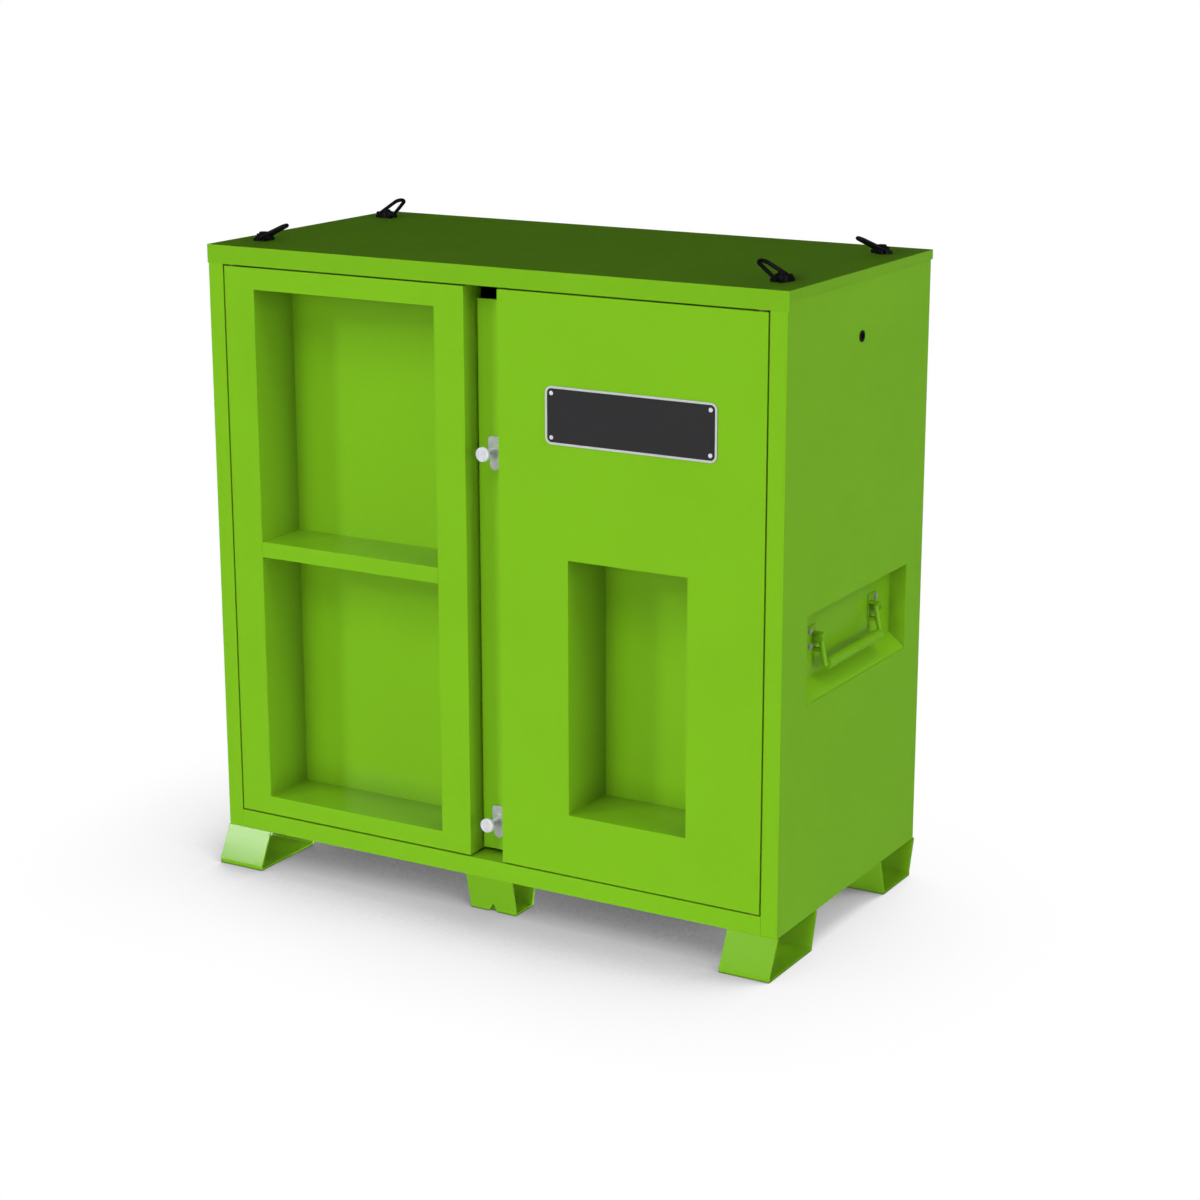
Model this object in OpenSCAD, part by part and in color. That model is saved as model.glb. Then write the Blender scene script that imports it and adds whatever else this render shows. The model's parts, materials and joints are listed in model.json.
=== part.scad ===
// Steel jobsite storage cabinet with two inset doors, door recesses, turn latches,
// recessed side handles, swivel hoist rings and six bent plate feet.
// X runs to the right, Y from the doors to the back, Z up; the floor is at Z 0.

/* [Cabinet] */
// Width over the flanges of the roof
width = 1524; // [1500:2:1830]
// Depth from the door faces to the back of the roof
depth = 756; // [720:2:900]
// Height of the box, without its feet and rings
box_h = 1446; // [1436:2:1700]
// Sheet of the walls and doors
panel_t = 2; // [1.6:0.1:2.6]
// Plate of the roof, the base and the lock strip
plate_t = 3; // [2.4:0.1:3.6]
// Hairline between sheets that are welded to each other
seam = 0.2; // [0.1:0.05:0.3]

/* [Door frame] */
// Face of the roof above the doors
header_h = 44; // [38:1:50]
// Depth of the return under that face
header_d = 40; // [37:1:48]
// Face of the sill below the doors
sill_h = 45; // [40:1:52]
// Face of the stile at each side of the doors
stile_w = 44; // [38:1:48]
// Depth of the stiles' inner returns
stile_d = 30; // [28:1:40]
// Depth of the side and rear flanges of the roof
roof_flange_h = 22; // [16:1:30]
// Width of the side walls' rear flanges
rear_flange_w = 25; // [16:1:40]
// Height of the stops that the doors close on
stop_h = 17; // [12:1:18]

/* [Doors] */
// Gap round each door
door_gap = 4; // [3.6:0.1:5]
// Depth of the doors' returns
door_d = 32; // [30:1:35]
// Width of the lips behind the returns
lip_w = 20; // [12:1:22]
// Width of the channel between the doors
channel_w = 89; // [87:1:96]
// Centre of that channel, left of the cabinet's middle
channel_off = 2; // [0:0.5:4]
// Lock strip behind the faces of the doors
strip_in = 54; // [52:0.5:60]
// Gap between the lock strip and the left door
strip_gap = 3; // [2.6:0.1:5]
// Space left above the lock strip
strip_short = 37; // [20:1:60]

/* [Door pivots] */
// Diameter of the pivot pins
pivot_d = 12; // [10:0.5:13]
// Pivot axis from the door's hinge edge
pivot_edge = 18; // [17:0.5:24]
// Pivot axis behind the door's face
pivot_in = 11; // [10.5:0.1:11.5]
// Outside diameter of the pivot bushes
bush_d = 16; // [15:0.1:16.5]
// Length of a bush inside the door
bush_l = 14; // [10:1:18]
// Radial clearance of a pin, spindle or hook in its bore
running_fit = 0.05; // [0.02:0.01:0.09]
// Play between faces that turn against each other
play = 0.3; // [0.2:0.05:0.4]

/* [Left door recess] */
// Door face between the compartments and the free edge
left_recess_edge = 79.5; // [60:0.5:100]
// Depth of the compartments
left_recess_d = 152; // [120:1:180]
// Door face between the hinge edge and the compartments
left_recess_side = 84; // [70:1:90]
// Door face above the compartments
left_recess_top = 51; // [40:1:70]
// Door face below the compartments
left_recess_bottom = 45; // [38:1:60]
// Height of the front edge of the shelf between them
recess_shelf_h = 38; // [24:1:60]

/* [Right door recess] */
// Width of the compartment
right_recess_w = 304; // [200:2:400]
// Height of the compartment
right_recess_h = 604; // [400:2:760]
// Depth of the compartment
right_recess_d = 172; // [120:1:180]
// Door face between the hinge edge and the compartment
right_recess_side = 187; // [120:1:240]
// Door face below the compartment
right_recess_bottom = 147; // [60:1:200]

/* [Latches] */
// Spindles from the cabinet's middle
latch_x = 4; // [2:0.5:5]
// Upper spindle above the bottom of the box
upper_latch_z = 1021; // [930:1:1100]
// Lower spindle above the bottom of the box
lower_latch_z = 134; // [132:1:190]
// Diameter of the spindles
spindle_d = 14; // [12:0.5:16]
// Diameter of the round heads
head_d = 34; // [28:1:38]
// Thickness of the round heads
head_t = 10; // [8:1:12]
// Reach of the wing that stands up
wing_up = 32; // [28:0.5:33]
// Reach of the wing that hangs down
wing_down = 46; // [40:0.5:47]
// Thickness of the wings and of the cam
wing_t = 6; // [4:0.5:7]
// Reach of the cam behind the strip
cam_l = 75; // [70:1:79]
// Width of the cam
cam_w = 26; // [20:1:30]

/* [Side handles] */
// Pocket's front edge behind the door faces
pocket_y = 126; // [80:1:160]
// Length of the pocket
pocket_l = 538; // [480:2:560]
// Pocket's lower edge above the bottom of the box
pocket_z = 508; // [500:1:560]
// Height of the pocket
pocket_h = 206; // [200:1:240]
// Depth of the pocket from the side wall's face
pocket_d = 43; // [40:1:50]
// Rise of the sloping bottom of the pocket
ramp_h = 37; // [20:1:50]
// Handle's axis above the lower edge of the pocket
handle_up = 127; // [122:1:140]
// Handle's axis in from the side wall's face
handle_in = 23; // [21:0.5:26]
// Length of the handle's arms
arm_l = 64; // [54:1:68]
// Distance between the arms of the handle
arm_gap = 300; // [298:2:340]
// Diameter of the handle's bent rod
rod_d = 12; // [10:0.5:13]
// Diameter of the grip
grip_d = 26; // [22:0.5:28]
// Length of the grip
grip_l = 282; // [200:1:284]
// Angle at which the handle rests on its stops
handle_tilt = 11; // [6:1:14]
// Diameter of the cable hole in the right wall
cable_hole_d = 14; // [8:1:30]
// Cable hole below the roof
cable_hole_down = 148; // [90:1:300]
// Cable hole behind the door faces
cable_hole_y = 375; // [200:1:500]

/* [Hoist rings] */
// Rings in from each side
ring_in_x = 76; // [60:1:100]
// Rings in from the front and the back
ring_in_y = 121; // [100:1:160]
// Diameter of the swivel bodies
swivel_d = 34; // [34:1:46]
// Height of the swivel bodies
swivel_h = 15; // [14:0.5:17]
// Diameter of the fixing bolts
ring_bolt_d = 12; // [10:0.5:13]
// Diameter of the rod of the bails
bail_d = 9; // [8:0.5:9.5]
// Reach of the bails from their pivots
bail_l = 74; // [60:1:90]
// Angle at which the bails rest on their stops
bail_rise = 26; // [20:1:34]

/* [Shelves] */
// Top of the lower shelf above the bottom of the box
lower_shelf_z = 470; // [340:2:480]
// Top of the upper shelf above the bottom of the box
upper_shelf_z = 930; // [780:2:1200]
// Front of the shelves behind the door faces
shelf_in = 204; // [190:2:260]
// Height of the shelves' lips
shelf_lip_h = 30; // [16:1:40]

/* [Feet] */
// Height of the feet
foot_h = 90; // [70:1:120]
// Width of the feet
foot_w = 127; // [110:1:150]
// Plate of the feet
foot_t = 5; // [4:0.5:6]
// Front feet reach this far in front of the doors
toe_out = 40; // [20:1:60]
// Rear feet stand this far in from the back
heel_in = 24; // [10:1:40]
// Upright edge at the bottom of a foot's outer plate
toe_lip = 12; // [8:1:20]
// Length of a corner foot at its top
foot_top = 203; // [180:1:240]
// Corner foot's inner bottom edge behind the face
foot_base = 177; // [150:1:180]
// Length of a centre foot at its top
centre_top = 115; // [112:1:160]
// Outer bottom edge of a centre foot behind the face
centre_in = 18; // [8:1:30]
// Inner bottom edge of a centre foot behind the face
centre_base = 97; // [80:1:110]
// Centre feet right of the cabinet's middle
centre_foot_x = 3; // [0:1:8]
// Width of the notch in the front centre foot
notch_w = 24; // [12:1:40]
// Height of that notch
notch_h = 20; // [12:1:30]

/* [Blank plate] */
// Width of the plate on the right door
plate_w = 430; // [300:2:480]
// Height of the plate
plate_h = 132; // [100:2:160]
// Corner radius of the plate
plate_r = 16; // [8:1:30]
// Thickness of the plate
label_t = 1.5; // [1:0.1:3]
// Middle of the plate above the bottom of the box
plate_z = 1128; // [1000:2:1200]
// Middle of the plate right of the cabinet's middle
plate_x = 382; // [330:2:420]

/* [Hidden] */
$fn = 64;
eps = 0.01;
green = [0.40, 0.66, 0.10];
dark_green = [0.30, 0.52, 0.08];
zinc = [0.72, 0.73, 0.74];
black = [0.05, 0.05, 0.06];
bronze = [0.62, 0.45, 0.22];

// Planes of the box, with Y from the door faces and Z from the bottom of the box
half_w = width / 2;
front_y = -(depth - toe_out) / 2;
side_x = half_w - plate_t;
wall_x = side_x - panel_t;
back_y = depth - plate_t - panel_t;
roof_z = box_h - plate_t;
header_z = box_h - header_h;
deck_z = sill_h - plate_t;
pan_x = wall_x - seam;
pan_back = back_y - panel_t - seam;
open_x = half_w - stile_w;

// Outlines of the doors
door_x = open_x - door_gap;
door_z0 = sill_h + door_gap;
door_z1 = header_z - door_gap;
left_free = -channel_off - channel_w / 2;
right_free = -channel_off + channel_w / 2;
pivot_x = door_x - pivot_edge;
strip_x0 = left_free + strip_gap;
strip_x1 = right_free + lip_w;
strip_top = header_z - strip_short;
strip_rise = 6;
strip_bottom = door_z0 + strip_rise;
keeper_step = 0.5;
keeper_w = 42;
keeper_back = 22;
stop_clear = 6;
stop_t = 3;
stop_y = door_d + play;
stop_free = 2;
pivot_swing = norm([pivot_edge, door_d - pivot_in]) + stop_free;

// Outlines of the door recesses
left_recess_x0 = -door_x + left_recess_side;
left_recess_x1 = left_free - left_recess_edge;
left_recess_z0 = door_z0 + left_recess_bottom;
left_recess_z1 = door_z1 - left_recess_top;
recess_shelf_z = (left_recess_z0 + left_recess_z1 - recess_shelf_h) / 2;
right_recess_x1 = door_x - right_recess_side;
right_recess_x0 = right_recess_x1 - right_recess_w;
right_recess_z0 = door_z0 + right_recess_bottom;
right_recess_z1 = right_recess_z0 + right_recess_h;
weld_flange = 12;
pin_pad = [28, 20, 4];
rivet_r = 2.5;
rivet_h = 1.2;
bush_flange = 2;

// Latch stack along the spindle, with Y from the door faces
bush_wall = 3;
flange_rim = 5;
latch_bush_d = spindle_d + 2 * bush_wall;
latch_flange_d = latch_bush_d + 2 * flange_rim;
latch_flange_t = 3;
bush_proud = 1.5;
bush_front = strip_in - latch_flange_t;
bush_back = strip_in + plate_t + bush_proud;
wing_y = bush_front - play - wing_t;
cam_y = bush_back + play;
nut_y = cam_y + wing_t;
nut_t = 7;
nut_d = 22;
spindle_front = -head_t;
upper_wing_w = 34;
lower_wing_w = 25;
slot_clear = 2;
hub_rim = 6;
hub_d = spindle_d + 2 * hub_rim;
cam_hub_rim = 8;
hub_proud = 4;
wing_corner = 8;
head_chamfer = 1.5;
spindle_end = 2;

// Pocket and handle of the right side, with X from the cabinet's middle
pocket_y1 = pocket_y + pocket_l;
pocket_mid = pocket_y + pocket_l / 2;
pocket_z1 = pocket_z + pocket_h;
pocket_x = side_x - pocket_d;
ramp_slope = ramp_h / pocket_d;
ramp_drop = panel_t * sqrt(1 + ramp_slope * ramp_slope);
handle_x = side_x - handle_in;
handle_z = pocket_z + handle_up;
rod_r = rod_d / 2;
bend_swell = 0.15;
arm_y = arm_gap / 2;
grommet_wall = 3;
grommet_lip = 2.5;
grommet_relief = 0.75;
ear_t = 6;
ear_clear = 1.5;
ear_y = arm_y + rod_r + ear_clear;
ear_rim = 4.5;
ear_r = rod_r + ear_rim;
ear_root = 2;
bracket_t = 4;
bracket_y0 = arm_y - rod_r - ear_root;
bracket_foot = 23;
bracket_y1 = ear_y + ear_t + bracket_foot;
bracket_top = 27;
bracket_low = 37;
lug_drop = 30;
lug_h = 8;
top_stop_out = 8;
top_stop_z = handle_z + rod_r + bend_swell + play;
top_stop_h = 5;
lug_x = handle_x + (lug_drop - lug_h / 2) * tan(handle_tilt)
    - rod_r / cos(handle_tilt) - play;
hook_rim = 2.5;
hook_head_d = rod_d + 2 * hook_rim;
hook_head_t = 3;
handle_bolt_r = 4;
handle_bolt_head = 15;
handle_head_h = 5;
handle_nut_h = 6;
handle_bolt_end = 2;
handle_bolt_in = 10;
handle_bolt_y = bracket_y1 - handle_bolt_in;
handle_bolt_dz = 18;

// Hoist rings: X, Y and heading of the bail of each
ring_x = half_w - ring_in_x;
RINGS = [
    [-ring_x, ring_in_y, 5],
    [-ring_x, depth - ring_in_y, 85],
    [ring_x, ring_in_y, 165],
    [ring_x, depth - ring_in_y, 236]
];
rib_w = 60;
rib_h = 30;
rib_t = 5;
rib_clear = 2;
ring_bush_r = ring_bolt_d / 2 + bush_wall;
ring_head_rim = 2;
ring_head_h = 4.5;
ring_nut_h = 10;
ring_bolt_end = 2;
nut_ratio = 1.85;
bail_r = bail_d / 2;
bail_pivot_z = play + swivel_h / 2;
bail_pin_step = 0.5;
bail_pin_r = bail_r - bail_pin_step;
bail_tip_r = 14;
bail_tip_x = bail_l - bail_tip_r - bail_r;
pivot_top = swivel_h / 2;
bail_in_r = (swivel_d / 2 + play + bail_r - pivot_top * bail_tip_r / bail_tip_x)
    / (1 - pivot_top / bail_tip_x);
bail_taper = asin((bail_in_r - bail_tip_r) / bail_tip_x);
bail_leg_y = bail_in_r / cos(bail_taper);
eye_rim = 2;
eye_r = bail_r + eye_rim;
eye_half_w = bail_r + bend_swell;
tip_lap = 1;
heel_x = 10;
heel_w = 5;
heel_y = 8;
heel_y1 = bail_in_r;
hook_l = 5.5;

// Shelves
shelf_play = 2;
shelf_x = wall_x - shelf_play;
shelf_back = back_y - panel_t - shelf_play;
cleat_w = 25;
cleat_t = 3;

module block(lo, hi) {
    translate(lo) cube(hi - lo);
}

module rod(a, b, r) {
    v = b - a;
    translate(a) rotate([0, acos(v.z / norm(v)), atan2(v.y, v.x)]) cylinder(r = r, h = norm(v));
}

// Straight rods from point to point with a slightly thicker ball at each bend
module bent_rod(points, r) {
    for (i = [1:len(points) - 1]) rod(points[i - 1], points[i], r);
    for (i = [1:len(points) - 2]) translate(points[i]) sphere(r + bend_swell);
}

// A cylinder along Y
module bar_y(r, y0, y1) {
    translate([0, y0, 0]) rotate([-90, 0, 0]) cylinder(r = r, h = y1 - y0);
}

module both_sides() {
    children();
    mirror([1, 0, 0]) children();
}

module both_ends() {
    children();
    mirror([0, 1, 0]) children();
}

// Places what is drawn from the door faces and the bottom of the box
module in_cabinet() {
    translate([0, front_y, foot_h]) children();
}

// Bent sheet with returns and lips round a door; free_d is the depth of its free edge
module door_sheet(x0, x1, free_left, free_right) {
    left_d = free_left > 0 ? free_left : door_d;
    right_d = free_right > 0 ? free_right : door_d;
    block([x0, 0, door_z0], [x1, panel_t, door_z1]);
    for (z = [door_z0, door_z1 - panel_t])
        block([x0, 0, z], [x1, door_d, z + panel_t]);
    for (z = [door_z0, door_z1 - lip_w])
        block([x0, door_d - panel_t, z], [x1, door_d, z + lip_w]);
    block([x0, 0, door_z0], [x0 + panel_t, left_d, door_z1]);
    block([x0, left_d - panel_t, door_z0], [x0 + lip_w, left_d, door_z1]);
    block([x1 - panel_t, 0, door_z0], [x1, right_d, door_z1]);
    block([x1 - lip_w, right_d - panel_t, door_z0], [x1, right_d, door_z1]);
}

// Five walls of a recess behind a door face, with a flange that is welded to it
module recess_box(x0, x1, z0, z1, d) {
    difference() {
        union() {
            block([x0 - panel_t, panel_t, z0 - panel_t], [x1 + panel_t, d + panel_t, z1 + panel_t]);
            block([x0 - weld_flange, panel_t, z0 - weld_flange],
                [x1 + weld_flange, 2 * panel_t, z1 + weld_flange]);
        }
        block([x0, 0, z0], [x1, d, z1]);
    }
}

module door_bushes(x) {
    for (top = [false, true])
        translate([x, pivot_in, top ? door_z1 : door_z0]) mirror([0, 0, top ? 1 : 0])
            difference() {
                union() {
                    cylinder(d = bush_d, h = bush_l);
                    translate([0, 0, play - door_gap])
                        cylinder(d = bush_d + 2 * bush_flange, h = door_gap - play);
                }
                translate([0, 0, -door_gap])
                    cylinder(r = pivot_d / 2 + running_fit, h = door_gap + bush_l + eps);
            }
}

// Two holes for the bushes in a door's end returns
module bush_holes(x) {
    for (z = [door_z0, door_z1])
        translate([x, pivot_in, z - panel_t - eps])
            cylinder(d = bush_d + seam / 4, h = 2 * (panel_t + eps));
}

module side_panel() {
    difference() {
        union() {
            block([wall_x, 0, 0], [side_x, back_y, header_z]);
            block([wall_x, plate_t + seam, header_z - eps], [side_x, back_y, roof_z]);
            block([open_x, 0, 0], [side_x, panel_t, header_z]);
            block([open_x, 0, 0], [open_x + panel_t, stile_d, header_z]);
            block([side_x - rear_flange_w, back_y - panel_t, 0], [side_x, back_y, roof_z]);
        }
        block([wall_x - 1, pocket_y, pocket_z], [side_x + 1, pocket_y1, pocket_z1]);
    }
}

// Bent sheet of a pocket, as X and Z of its cut from the sloping bottom to the top
function pocket_outer() = [
    [wall_x, pocket_z + ramp_slope * panel_t - ramp_drop],
    [pocket_x - panel_t, pocket_z + ramp_h + ramp_slope * panel_t - ramp_drop],
    [pocket_x - panel_t, pocket_z1 + panel_t],
    [wall_x, pocket_z1 + panel_t]
];
function pocket_inner() = [
    [wall_x, pocket_z1],
    [pocket_x, pocket_z1],
    [pocket_x, pocket_z + ramp_h],
    [wall_x, pocket_z + ramp_slope * panel_t]
];

module along_y(y0, y1) {
    translate([0, y1, 0]) rotate([90, 0, 0]) linear_extrude(y1 - y0) children();
}

module pocket() {
    y0 = pocket_y - panel_t;
    y1 = pocket_y1 + panel_t;
    along_y(y0, y1) polygon(concat(pocket_outer(), pocket_inner()));
    along_y(y0, pocket_y) polygon(pocket_outer());
    along_y(pocket_y1, y1) polygon(pocket_outer());
    difference() {
        block([wall_x - panel_t, y0 - weld_flange, pocket_z - weld_flange],
            [wall_x, y1 + weld_flange, pocket_z1 + weld_flange]);
        along_y(y0, y1) polygon(pocket_outer());
    }
}

// One bracket beyond the arm of the handle; its mirror image carries the other arm
module handle_bracket() {
    plate_x = pocket_x + bracket_t;
    difference() {
        union() {
            block([pocket_x, bracket_y0, handle_z - bracket_low],
                [plate_x, bracket_y1, handle_z + bracket_top]);
            block([plate_x - eps, ear_y, handle_z - ear_r - ear_root],
                [handle_x, ear_y + ear_t, handle_z + ear_r]);
            translate([handle_x, 0, handle_z]) bar_y(ear_r, ear_y, ear_y + ear_t);
            block([plate_x - eps, arm_y - rod_r, handle_z - lug_drop - lug_h / 2],
                [lug_x, arm_y + rod_r, handle_z - lug_drop + lug_h / 2]);
            block([plate_x - eps, arm_y - rod_r, top_stop_z],
                [handle_x + top_stop_out, ear_y + eps, top_stop_z + top_stop_h]);
        }
        translate([handle_x, 0, handle_z])
            bar_y(rod_r + running_fit, ear_y - 1, ear_y + ear_t + 1);
        for (dz = [-1, 1])
            translate([pocket_x - 1, handle_bolt_y, handle_z + dz * handle_bolt_dz])
                rotate([0, 90, 0]) cylinder(r = handle_bolt_r + seam, h = bracket_t + 2);
    }
}

module handle_brackets() {
    translate([0, pocket_mid, 0]) both_ends() handle_bracket();
}

module pocket_bolt_holes() {
    translate([0, pocket_mid, 0]) both_ends()
        for (dz = [-1, 1])
            translate([pocket_x - panel_t - 1, handle_bolt_y, handle_z + dz * handle_bolt_dz])
                rotate([0, 90, 0]) cylinder(r = handle_bolt_r + seam, h = panel_t + 2);
}

// Bolts with a hex head in the pocket and a nut inside the cabinet
module handle_bolt_set() {
    translate([0, pocket_mid, 0]) both_ends()
        for (dz = [-1, 1])
            translate([pocket_x, handle_bolt_y, handle_z + dz * handle_bolt_dz])
                rotate([0, 90, 0]) {
                    reach = panel_t + handle_nut_h + handle_bolt_end;
                    translate([0, 0, bracket_t])
                        cylinder(d = handle_bolt_head, h = handle_head_h, $fn = 6);
                    translate([0, 0, -reach])
                        cylinder(r = handle_bolt_r, h = reach + bracket_t + eps);
                    translate([0, 0, -panel_t - handle_nut_h])
                        cylinder(d = handle_bolt_head, h = handle_nut_h, $fn = 6);
                }
}

module at_handle() {
    translate([handle_x, pocket_mid, handle_z]) rotate([0, -handle_tilt, 0]) children();
}

module handle_bail() {
    head_y = ear_y + ear_t + play;
    at_handle() {
        bent_rod([
            [0, -head_y, 0], [0, -arm_y, 0], [0, -arm_y, -arm_l],
            [0, arm_y, -arm_l], [0, arm_y, 0], [0, head_y, 0]
        ], rod_r);
        both_ends() bar_y(hook_head_d / 2, head_y, head_y + hook_head_t);
    }
}

module handle_grip() {
    at_handle() translate([0, 0, -arm_l]) difference() {
        bar_y(grip_d / 2, -grip_l / 2, grip_l / 2);
        bar_y(rod_r + running_fit, -grip_l / 2 - 1, grip_l / 2 + 1);
    }
}

// A bent plate foot, Y inward from the cabinet's face, open at its left and right ends
function foot_path(out, base, top) = [
    [0, 0],
    [-out, toe_lip - foot_h],
    [-out, -foot_h],
    [base, -foot_h],
    [top, 0]
];
function foot_inside(out, base, top) = [
    [top - foot_t, 0],
    [base - foot_t, foot_t - foot_h],
    [foot_t - out, foot_t - foot_h],
    [foot_t - out, toe_lip - foot_h],
    [foot_t, 0]
];

module plate_foot(out, base, top) {
    rotate([90, 0, 90]) linear_extrude(foot_w, center = true)
        polygon(concat(foot_path(out, base, top), foot_inside(out, base, top)));
}

module front_foot() {
    translate([half_w - foot_w / 2, 0, 0]) plate_foot(toe_out, foot_base, foot_top);
}

module rear_foot() {
    translate([half_w - foot_w / 2, depth, 0]) mirror([0, 1, 0])
        plate_foot(-heel_in, foot_base, foot_top);
}

// A latch's own frame: the spindle along Y, turned so that 0 is unlocked
module at_latch(z) {
    in_cabinet() translate([latch_x, 0, z]) children();
}

module latch_spindle() {
    bar_y(spindle_d / 2, spindle_front + head_t - eps, nut_y + nut_t + spindle_end);
    bar_y(head_d / 2, spindle_front + head_chamfer, spindle_front + head_t - head_chamfer);
    for (flip = [0, 1])
        translate([0, spindle_front + head_t / 2, 0]) mirror([0, flip, 0])
            translate([0, head_t / 2 - head_chamfer, 0]) rotate([-90, 0, 0])
                cylinder(d1 = head_d, d2 = head_d - 2 * head_chamfer, h = head_chamfer);
}

module latch_wing() {
    difference() {
        union() {
            bar_y(hub_d / 2, wing_y - hub_proud, wing_y + wing_t);
            translate([0, wing_y + wing_t, 0]) rotate([90, 0, 0]) linear_extrude(wing_t) {
                translate([-upper_wing_w / 2, 0]) square([upper_wing_w, wing_up - wing_corner]);
                translate([wing_corner - upper_wing_w / 2, 0])
                    square([upper_wing_w - 2 * wing_corner, wing_up]);
                for (s = [-1, 1])
                    translate([s * (upper_wing_w / 2 - wing_corner), wing_up - wing_corner])
                        circle(wing_corner);
                translate([-lower_wing_w / 2, -wing_down + lower_wing_w / 2])
                    square([lower_wing_w, wing_down - lower_wing_w / 2]);
                translate([0, -wing_down + lower_wing_w / 2]) circle(lower_wing_w / 2);
            }
        }
        bar_y(spindle_d / 2 + seam / 4, wing_y - hub_proud - 1, wing_y + wing_t + 1);
    }
}

module latch_cam() {
    difference() {
        union() {
            bar_y(spindle_d / 2 + cam_hub_rim, cam_y, cam_y + wing_t);
            translate([0, 0, -cam_l + cam_w / 2]) bar_y(cam_w / 2, cam_y, cam_y + wing_t);
            block([-cam_w / 2, cam_y, -cam_l + cam_w / 2], [cam_w / 2, cam_y + wing_t, 0]);
        }
        bar_y(spindle_d / 2 + seam / 4, cam_y - 1, cam_y + wing_t + 1);
    }
}

module latch_nut() {
    difference() {
        translate([0, nut_y, 0]) rotate([-90, 0, 0]) cylinder(d = nut_d, h = nut_t, $fn = 6);
        bar_y(spindle_d / 2 + seam / 4, nut_y - 1, nut_y + nut_t + 1);
    }
}

module at_ring(i) {
    in_cabinet() translate([RINGS[i].x, RINGS[i].y, box_h]) rotate([0, 0, RINGS[i].z]) children();
}

module ring_swivel() {
    difference() {
        union() {
            translate([0, 0, play]) cylinder(d = swivel_d, h = swivel_h);
            heel_z = bail_pivot_z + heel_x * tan(bail_rise) - bail_r / cos(bail_rise) - play;
            both_sides() both_ends()
                block([heel_x, heel_y, play], [heel_x + heel_w, heel_y1, heel_z]);
        }
        translate([0, 0, play - 1]) cylinder(r = ring_bush_r + running_fit, h = swivel_h + 2);
        both_ends() translate([0, 0, bail_pivot_z])
            bar_y(bail_pin_r + running_fit, swivel_d / 2 - hook_l - play, swivel_d / 2 + 1);
    }
}

// A bail with an eye and a pin at the end of each leg, and a round tip
module ring_bail() {
    translate([0, 0, bail_pivot_z]) rotate([0, -bail_rise, 0]) {
        both_ends() {
            bar_y(bail_pin_r, swivel_d / 2 - hook_l, bail_leg_y);
            bar_y(eye_r, swivel_d / 2 + play, bail_leg_y + eye_half_w);
            rod([0, bail_leg_y, 0],
                [bail_tip_x + bail_tip_r * sin(bail_taper) + tip_lap * cos(bail_taper),
                    bail_tip_r * cos(bail_taper) - tip_lap * sin(bail_taper), 0], bail_r);
        }
        translate([bail_tip_x, 0, 0]) rotate([0, 0, bail_taper - 90])
            rotate_extrude(angle = 180 - 2 * bail_taper)
                translate([bail_tip_r, 0]) circle(bail_r + bend_swell);
    }
}

module shelf(z) {
    in_cabinet() {
        block([-shelf_x, shelf_in, z - panel_t], [shelf_x, shelf_back, z]);
        for (y = [shelf_in, shelf_back - panel_t])
            block([-shelf_x, y, z - shelf_lip_h], [shelf_x, y + panel_t, z]);
    }
}

module top_cap() {
    color(green) in_cabinet() difference() {
        union() {
            block([-half_w, 0, roof_z], [half_w, depth, box_h]);
            block([-half_w, 0, header_z], [half_w, plate_t, box_h]);
            block([-pan_x, 0, header_z], [pan_x, header_d, header_z + plate_t]);
            both_sides()
                block([side_x, 0, box_h - roof_flange_h], [half_w, depth, box_h]);
            block([-half_w, depth - plate_t, box_h - roof_flange_h], [half_w, depth, box_h]);
        }
        for (r = RINGS)
            translate([r.x, r.y, roof_z - 1]) cylinder(r = ring_bolt_d / 2 + seam, h = plate_t + 2);
        both_sides() translate([pivot_x, pivot_in, header_z - 1])
            cylinder(r = pivot_d / 2 + seam / 4, h = plate_t + 2);
    }
}

module roof_ribs() {
    y0 = header_d + rib_clear;
    color(green) in_cabinet() difference() {
        both_sides() translate([ring_x, 0, 0]) {
            block([-rib_w / 2, y0, roof_z - rib_t], [rib_w / 2, pan_back, roof_z]);
            for (x = [-rib_w / 2, rib_w / 2 - plate_t])
                block([x, y0, roof_z - rib_h], [x + plate_t, pan_back, roof_z]);
        }
        for (r = RINGS)
            translate([r.x, r.y, roof_z - rib_t - 1])
                cylinder(r = ring_bolt_d / 2 + seam, h = rib_t + 2);
    }
}

module left_side_panel() {
    color(green) in_cabinet() mirror([1, 0, 0]) side_panel();
}

module right_side_panel() {
    color(green) in_cabinet() difference() {
        side_panel();
        translate([wall_x - 1, cable_hole_y, box_h - cable_hole_down]) rotate([0, 90, 0])
            cylinder(d = cable_hole_d + 2 * grommet_wall + seam, h = panel_t + 2);
    }
}

// Rubber ring in the cable hole; its outer lip fits the cable and the rest is wider
module cable_grommet() {
    color(black) in_cabinet()
        translate([wall_x - grommet_lip, cable_hole_y, box_h - cable_hole_down])
            rotate([0, 90, 0]) difference() {
                union() {
                    cylinder(d = cable_hole_d + 2 * grommet_wall,
                        h = panel_t + 2 * grommet_lip);
                    for (x = [0, panel_t + grommet_lip])
                        translate([0, 0, x])
                            cylinder(d = cable_hole_d + 4 * grommet_wall, h = grommet_lip);
                }
                translate([0, 0, -1])
                    cylinder(d = cable_hole_d, h = panel_t + 2 * grommet_lip + 2);
                translate([0, 0, -1])
                    cylinder(r = cable_hole_d / 2 + grommet_relief, h = panel_t + grommet_lip + 1);
            }
}

module back_panel() {
    color(green) in_cabinet() block([-side_x, back_y, 0], [side_x, back_y + panel_t, roof_z]);
}

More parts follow.
